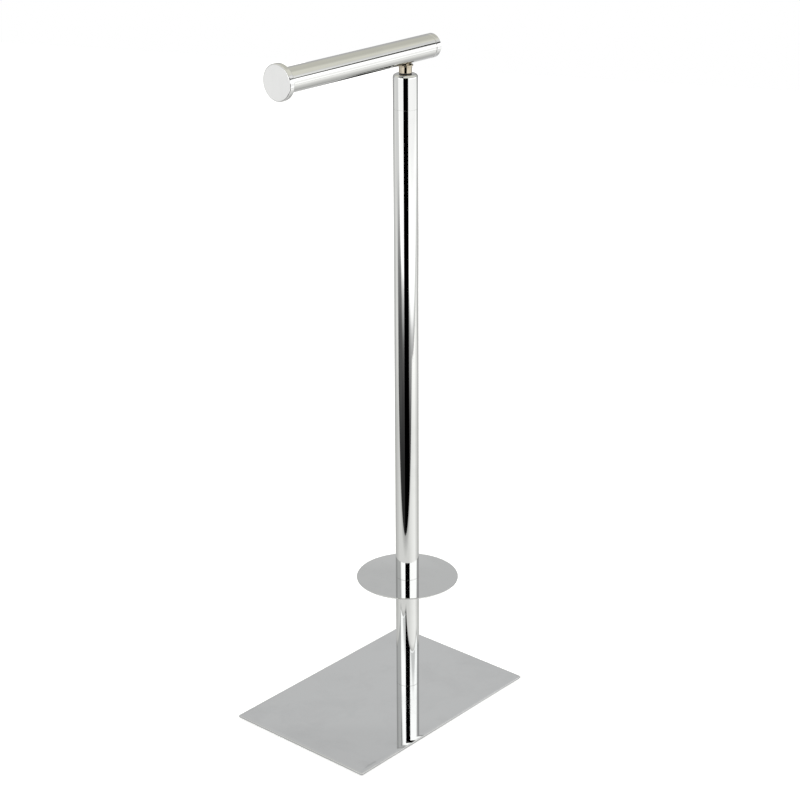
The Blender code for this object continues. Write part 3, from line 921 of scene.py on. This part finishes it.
def glow(name, rise, sweep=((0, 1), (1, 1))):
    finish, tree = bare_finish(name)
    where = add(tree, "ShaderNodeSeparateXYZ", Vector=add(tree, "ShaderNodeTexCoord").outputs["UV"])
    up = colour_steps(tree, where.outputs["Y"], rise)
    along = colour_steps(tree, where.outputs["X"], [(position, grey(share)) for position, share in sweep])
    light = add(tree, "ShaderNodeEmission", Color=up, Strength=along)
    add(tree, "ShaderNodeOutputMaterial", Surface=light.outputs["Emission"])
    return finish


def by_height(foot, head, steps):
    return [((height - foot) / (head - foot), colour) for height, colour in steps]


def leave_to_mirrors(thing):
    thing.visible_camera = False
    thing.visible_diffuse = False
    thing.visible_shadow = False


def one_for_each(spots, heights):
    return heights if isinstance(heights, list) else [heights] * len(spots)


def studio_wall(name, spots, feet, heads, finish, only_in_mirrors=False):
    feet = one_for_each(spots, feet)
    heads = one_for_each(spots, heads)
    low = min(feet)
    high = max(heads)
    bm = bmesh.new()
    uv = bm.loops.layers.uv.new("share_along_and_up")
    lower = [bm.verts.new((x, y, foot)) for (x, y), foot in zip(spots, feet)]
    upper = [bm.verts.new((x, y, head)) for (x, y), head in zip(spots, heads)]
    count = len(spots) - 1
    for index in range(count):
        face = bm.faces.new((lower[index], lower[index + 1], upper[index + 1], upper[index]))
        for loop, along in zip(face.loops, (index, index + 1, index + 1, index)):
            loop[uv].uv = (along / count, (loop.vert.co.z - low) / (high - low))
    mesh = bpy.data.meshes.new(name)
    bm.to_mesh(mesh)
    bm.free()
    mesh.materials.append(finish)
    wall = bpy.data.objects.new(name, mesh)
    bpy.context.scene.collection.objects.link(wall)
    wall.visible_camera = False
    if only_in_mirrors:
        leave_to_mirrors(wall)
    wall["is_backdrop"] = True
    print(name, "hangs from", low, "to", high, "m")


# %% [markdown]
# The two soft panels have the same tones above the table's level, with the brightest band about
# 0.7 m up, and fade out below it. The left one is cut to the slanting outline that the column shows.

# %% Put up the two soft panels
panel_foot = -0.5
panel_head = 1.42
upper_steps = [
    (0.25, grey(1.75)),
    (0.33, grey(1.5)),
    (0.57, grey(1.5)),
    (0.62, grey(2.7)),
    (0.82, grey(2.7)),
    (0.87, grey(2.3)),
    (0.95, grey(1.5)),
    (1, grey(1.2)),
    (1.19, grey(1.25)),
    (1.42, grey(1.2)),
]
left_steps = [
    (-0.5, grey(0.03)),
    (-0.24, grey(0.04)),
    (-0.12, grey(0.08)),
    (-0.05, grey(0.14)),
    (-0.02, grey(0.22)),
    (0, grey(0.4)),
    (0.045, grey(0.75)),
    (0.075, grey(1.15)),
    (0.1, grey(1.75)),
]
right_steps = [
    (-0.5, grey(0.03)),
    (-0.24, grey(0.05)),
    (-0.17, grey(0.1)),
    (-0.11, grey(0.25)),
    (-0.07, grey(0.4)),
    (0, grey(0.55)),
    (0.035, grey(0.9)),
    (0.06, grey(1.5)),
    (0.08, grey(1.75)),
]
left_light = glow(
    "left_panel_light",
    by_height(panel_foot, panel_head, left_steps + upper_steps),
    [(0, 0.93), (0.4, 1)],
)
right_light = glow(
    "right_panel_light",
    by_height(panel_foot, panel_head, right_steps + upper_steps),
    [(0.4, 1), (0.75, 0.97), (1, 0.87)],
)
left_outline = [
    (-1.496, 0.838, 0.3),
    (-1.434, 0.651, 0.24),
    (-1.392, 0.526, 0.2),
    (-1.377, 0.486, 0.14),
    (-1.294, 0.233, 0.07),
    (-1.242, 0.076, 0.03),
    (-1.241, 0.073, panel_foot),
    (-1.082, -0.404, panel_foot),
]
left_spots = [(column_x + x, y) for x, y, foot in left_outline]
left_feet = [foot for x, y, foot in left_outline]
right_spots = [(column_x - 0.52, -1.115), (column_x + 1.69, -0.846)]
studio_wall("left_panel", left_spots, left_feet, panel_head, left_light)
studio_wall("right_panel", right_spots, panel_foot, panel_head, right_light)

# %% [markdown]
# The dark room has no light of its own. It closes the view beyond the panels, and a nearer wall of
# the same black fills the gap between them.

# %% Hang the dark room
room_radius = 2.6
room_foot = -1.5
room_head = 1.6
gap_radius = 1.9
gap_foot = -1.2
black = glow("dark_room", [(0, grey(0)), (1, grey(0))])
studio_wall("dark_room", spots_round(room_radius, -80, 100), room_foot, room_head, black)
studio_wall("dark_gap", spots_round(gap_radius, -26, 29), gap_foot, room_head, black)

# %% [markdown]
# The frame bar hangs just before the panels. On the right one it slants upwards, as the photograph
# shows, so its edges have a height of their own at every spot.

# %% Hang the frame bar
frame_lead = Vector((0, 0.01))
frame_foot = 1.005
frame_head = 1.19
left_frame_spots = [Vector(spot) + frame_lead.yx for spot in left_spots]
studio_wall("left_frame_bar", left_frame_spots, frame_foot, frame_head, black, True)
near_end, far_end = [Vector(spot) + frame_lead for spot in right_spots]
frame_spots = [near_end.lerp(far_end, share) for share in (0, 0.5, 0.6, 0.78, 1)]
frame_feet = [frame_foot, frame_foot, 0.985, 1.08, 1.2]
frame_heads = [frame_head, frame_head, 1.085, 1.27, 1.4]
studio_wall("right_frame_bar", frame_spots, frame_feet, frame_heads, black, True)

# %% [markdown]
# Beside the left panel a grey wall fills the view. It is dark below the table's level, like the
# panels.

# %% Hang the left wall
left_wall_radius = 1.75
left_wall_foot = -0.6
left_wall_steps = [
    (-0.6, grey(0.04)),
    (-0.45, grey(0.05)),
    (-0.32, grey(0.11)),
    (-0.2, grey(0.127)),
    (-0.077, grey(0.3)),
    (0.048, grey(0.69)),
    (0.12, grey(1)),
    (1.6, grey(1)),
]
left_wall_grey = glow("left_wall_grey", by_height(left_wall_foot, room_head, left_wall_steps))
left_wall_spots = spots_round(left_wall_radius, -82, -44)
studio_wall("left_wall", left_wall_spots, left_wall_foot, room_head, left_wall_grey, True)

# %% [markdown]
# Behind the holder hangs a flat grey background, darkest a little below the middle of its height and
# brighter towards its top and its ends.

# %% Hang the background
background_head = 1.8
background_distance = 0.55
background_half = 1.15
background_steps = [
    (0, grey(0.66)),
    (0.18, grey(0.68)),
    (0.23, grey(0.785)),
    (0.385, grey(0.785)),
    (0.4, grey(0.745)),
    (0.48, grey(0.745)),
    (0.505, grey(0.66)),
    (0.6, grey(0.56)),
    (0.82, grey(0.56)),
    (0.95, grey(0.63)),
    (1.08, warm(0.76)),
    (1.26, warm(0.8)),
    (1.64, warm(0.82)),
    (1.8, warm(0.85)),
]
background_sweep = [(0, 1.33), (0.1, 1.15), (0.3, 0.95), (0.5, 1), (0.7, 0.95), (0.9, 1.15), (1, 1.33)]
background_grey = glow("background_grey", by_height(0, background_head, background_steps), background_sweep)
background_turn = camera_turn + math.pi
background_side = Vector((math.cos(background_turn), math.sin(background_turn)))
background_along = Vector((-background_side.y, background_side.x))
background_middle = Vector((column_x, 0)) + background_side * background_distance
background_spots = [background_middle + background_along * end for end in (-background_half, background_half)]
studio_wall("background", background_spots, 0, background_head, background_grey, True)

# %% [markdown]
# A small black strip hangs before the background and darkens the bar's lower edge. A small white
# card at the left lights the face of the roll stop.

# %% Hang the strip and the card
strip_lead = 0.3
strip_middle = background_middle - background_side * strip_lead
strip_spots = [strip_middle + background_along * aside for aside in (-0.15, -0.03, 0.05, 0.175)]
strip_feet = [0.36, 0.43, 0.5, 0.59]
strip_heads = [0.43, 0.56, 0.645, 0.645]
studio_wall("dark_strip", strip_spots, strip_feet, strip_heads, black, True)
card_light = grey(1.28)
side_white = glow("side_white", [(0, card_light), (1, card_light)])
card_distance = 1.64
card_foot = 0.325
card_head = 0.4
card_spots = [spot_round(card_distance, -79.6), spot_round(card_distance, -82.4)]
studio_wall("side_card", card_spots, card_foot, card_head, side_white, True)

# %% [markdown]
# A faintly warm ceiling lights the bar's upper side. It is one level sheet of four corners, and the
# table will be another.

# %% Lay the ceiling


def level_sheet(name, spots, height, finish):
    mesh = bpy.data.meshes.new(name)
    mesh.from_pydata([(x, y, height) for x, y in spots], [], [(0, 1, 2, 3)])
    mesh.materials.append(finish)
    sheet = bpy.data.objects.new(name, mesh)
    bpy.context.scene.collection.objects.link(sheet)
    sheet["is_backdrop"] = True
    print(name, "lies at", height, "m")
    return sheet


ceiling_height = 2.5
ceiling_half = 2.5
ceiling_spots = [(x * ceiling_half, y * ceiling_half) for x, y in ((-1, -1), (1, -1), (1, 1), (-1, 1))]
ceiling_light = warm(1.02)
warm_white = glow("warm_ceiling", [(0, ceiling_light), (1, ceiling_light)])
leave_to_mirrors(level_sheet("ceiling", ceiling_spots, ceiling_height, warm_white))

# %% [markdown]
# ## The table
#
# The table is matt white. To every ray that is seen it also glows a little, just enough to come out
# white in the open, and more so far from the panels. The holder's soft shadow stays.

# %% Lay the table


def seen_share(tree):
    rays = add(tree, "ShaderNodeLightPath").outputs
    seen = combined(tree, "ShaderNodeMath", "ADD", rays["Is Camera Ray"], rays["Is Glossy Ray"])
    return combined(tree, "ShaderNodeMath", "ADD", seen, rays["Is Transmission Ray"])


def table_finish():
    finish, tree, shader = new_finish("white_table")
    fibres = add(tree, "ShaderNodeTexNoise", Vector=in_metres(tree), Scale=700, Detail=4)
    tones = colour_steps(tree, fibres.outputs["Fac"], [(0, (0.8, 0.8, 0.77)), (1, (0.84, 0.84, 0.81))])
    distance = length_of(tree, arm_from(tree, (column_x, 0, 0)))
    lift = spread(tree, distance, 0.3, 1.4, 0.56, 0.66)
    strength = combined(tree, "ShaderNodeMath", "MULTIPLY", seen_share(tree), lift)
    feed(tree, shader, Base_Color=tones, Roughness=0.9, Specular_IOR_Level=0.1)
    feed(tree, shader, Emission_Color=(1, 1, 1, 1), Emission_Strength=strength)
    return finish


table_front = 0.399
table_reach = 3
edge_slant = -17
edge_turn = camera_turn + math.radians(edge_slant)
edge_side = Vector((math.cos(edge_turn), math.sin(edge_turn)))
edge_along = Vector((-edge_side.y, edge_side.x))
table_spots = []
for ahead, aside in ((table_front, -1), (table_front, 1), (-table_reach, 1), (-table_reach, -1)):
    table_spots.append(Vector((column_x, 0)) + edge_side * ahead + edge_along * table_reach * aside)
level_sheet("table", table_spots, 0, table_finish())

# %% [markdown]
# The column shows that the table is not lit evenly: it is brightest to the right of the camera, darker
# behind the holder, and it dims in the last few centimetres before its front edge. Close to the base
# plate the plate's shadow falls, which keeps the plate's sides grey. A thin sheet that only mirrors see
# lies on the table and glows with these tones, as painted light and a painted shadow of the plate,
# while the camera sees the plain white table.

# %% Lay the sheet of painted light that mirrors see
rear_tone = 0.68
fade_width = 0.07
sheet_height = 0.0004


def mirrored_table_finish():
    finish, tree = bare_finish("mirrored_table_painted_light")
    arm = arm_from(tree, (column_x, 0, 0))
    heading = add(tree, "ShaderNodeVectorMath", {"operation": "NORMALIZE"}, Vector=arm).outputs["Vector"]

    def share_of(vector, direction, low, high, to_low, to_high):
        dot = add(tree, "ShaderNodeVectorMath", {"operation": "DOT_PRODUCT"})
        plug(tree, dot.inputs[0], vector)
        plug(tree, dot.inputs[1], direction)
        return spread(tree, dot.outputs["Value"], low, high, to_low, to_high)

    # The glow paints the table's uneven light: brighter to the right of the camera and far out, darker behind
    # the holder.
    in_front = share_of(heading, camera_side, -0.65, 0.2, 0, 1)
    at_right = share_of(heading, camera_side.cross((0, 0, -1)), 0.2, 0.95, 0.35, 0.7)
    edge_fade = share_of(arm, edge_side.to_3d(), table_front - fade_width, table_front, 1, 0.6)
    lift = combined(tree, "ShaderNodeMath", "MULTIPLY", in_front, at_right)
    tone = combined(tree, "ShaderNodeMath", "ADD", lift, rear_tone)
    far_lift = spread(tree, length_of(tree, arm), 0.75, 1.15, 1, 1.3)
    tone = combined(tree, "ShaderNodeMath", "MULTIPLY", tone, far_lift)
    # A painted shadow of the plate: the glow is darker within about 2 cm of the plate's rim.
    size = add(tree, "ShaderNodeVectorMath", {"operation": "ABSOLUTE"}, Vector=arm_from(tree, plate_middle))
    half_plate = (plate_length / 2, plate_width / 2, 0)
    past_rim = combined(tree, "ShaderNodeVectorMath", "SUBTRACT", size.outputs["Vector"], half_plate)
    parts = add(tree, "ShaderNodeSeparateXYZ", Vector=past_rim).outputs
    from_rim = combined(tree, "ShaderNodeMath", "MAXIMUM", parts["X"], parts["Y"])
    painted_plate_shadow = spread(tree, from_rim, 0.004, 0.02, 0.58, 1)
    tone = combined(tree, "ShaderNodeMath", "MULTIPLY", tone, painted_plate_shadow)
    strength = combined(tree, "ShaderNodeMath", "MULTIPLY", tone, edge_fade)
    light = add(tree, "ShaderNodeEmission", Color=(1, 1, 0.985, 1), Strength=strength)
    add(tree, "ShaderNodeOutputMaterial", Surface=light.outputs["Emission"])
    return finish


leave_to_mirrors(level_sheet("mirrored_table_painted_light", table_spots, sheet_height, mirrored_table_finish()))

# %% [markdown]
# The world is plain white for every ray that is seen, and a little less for the light that falls on
# matt surfaces. Chrome is often lit by a picture of a room, but a picture can't be rearranged.

# %% Fill the world with white light
matt_share = 0.8
world = bpy.data.worlds.new("white_world")
bpy.context.scene.world = world
world.use_nodes = True
sky = world.node_tree.nodes["Background"]
sky_strength = spread(world.node_tree, seen_share(world.node_tree), 0, 1, matt_share, 1)
feed(world.node_tree, sky, Color=(1, 1, 1, 1), Strength=sky_strength)
print("the world gives", matt_share, "to matt surfaces and 1 to seen rays")

# %% [markdown]
# ## The camera
#
# The camera's place was worked out from the outlines in the photograph: it stands 1.9 m away to the
# front left and 1.1 m up, and looks down at the holder with a long lens. Its axes are built from
# three angles. A Track To constraint could aim it as well, but not with the photograph's slight roll.

# %% Place the camera
camera_rise = 1.10029
camera_place = Vector((column_x + camera_x, camera_y, plate_low.z + camera_rise))
yaw = math.radians(41.17696)
pitch = math.radians(21.72212)
roll = math.radians(-0.29425)
forward = Vector((math.cos(pitch) * math.cos(yaw), math.cos(pitch) * math.sin(yaw), -math.sin(pitch)))
level_right = Vector((math.sin(yaw), -math.cos(yaw), 0))
level_up = level_right.cross(forward)
image_right = level_right * math.cos(roll) + level_up * math.sin(roll)
image_up = level_up * math.cos(roll) - level_right * math.sin(roll)
photo_width = 800
focal_pixels = 1996.332
lens_data = bpy.data.cameras.new("photo_camera")
lens_data.sensor_width = 36
lens_data.lens = focal_pixels * lens_data.sensor_width / photo_width
lens_data.clip_start = 0.05
lens_data.clip_end = 50
camera = bpy.data.objects.new("photo_camera", lens_data)
bpy.context.scene.collection.objects.link(camera)
turn = Matrix((image_right, image_up, -forward)).transposed().to_4x4()
camera.matrix_world = Matrix.Translation(camera_place) @ turn
bpy.context.scene.camera = camera
bpy.context.scene.view_settings.view_transform = "Standard"
print("lens", round(lens_data.lens, 2), "mm at", tuple(round(part, 3) for part in camera_place))
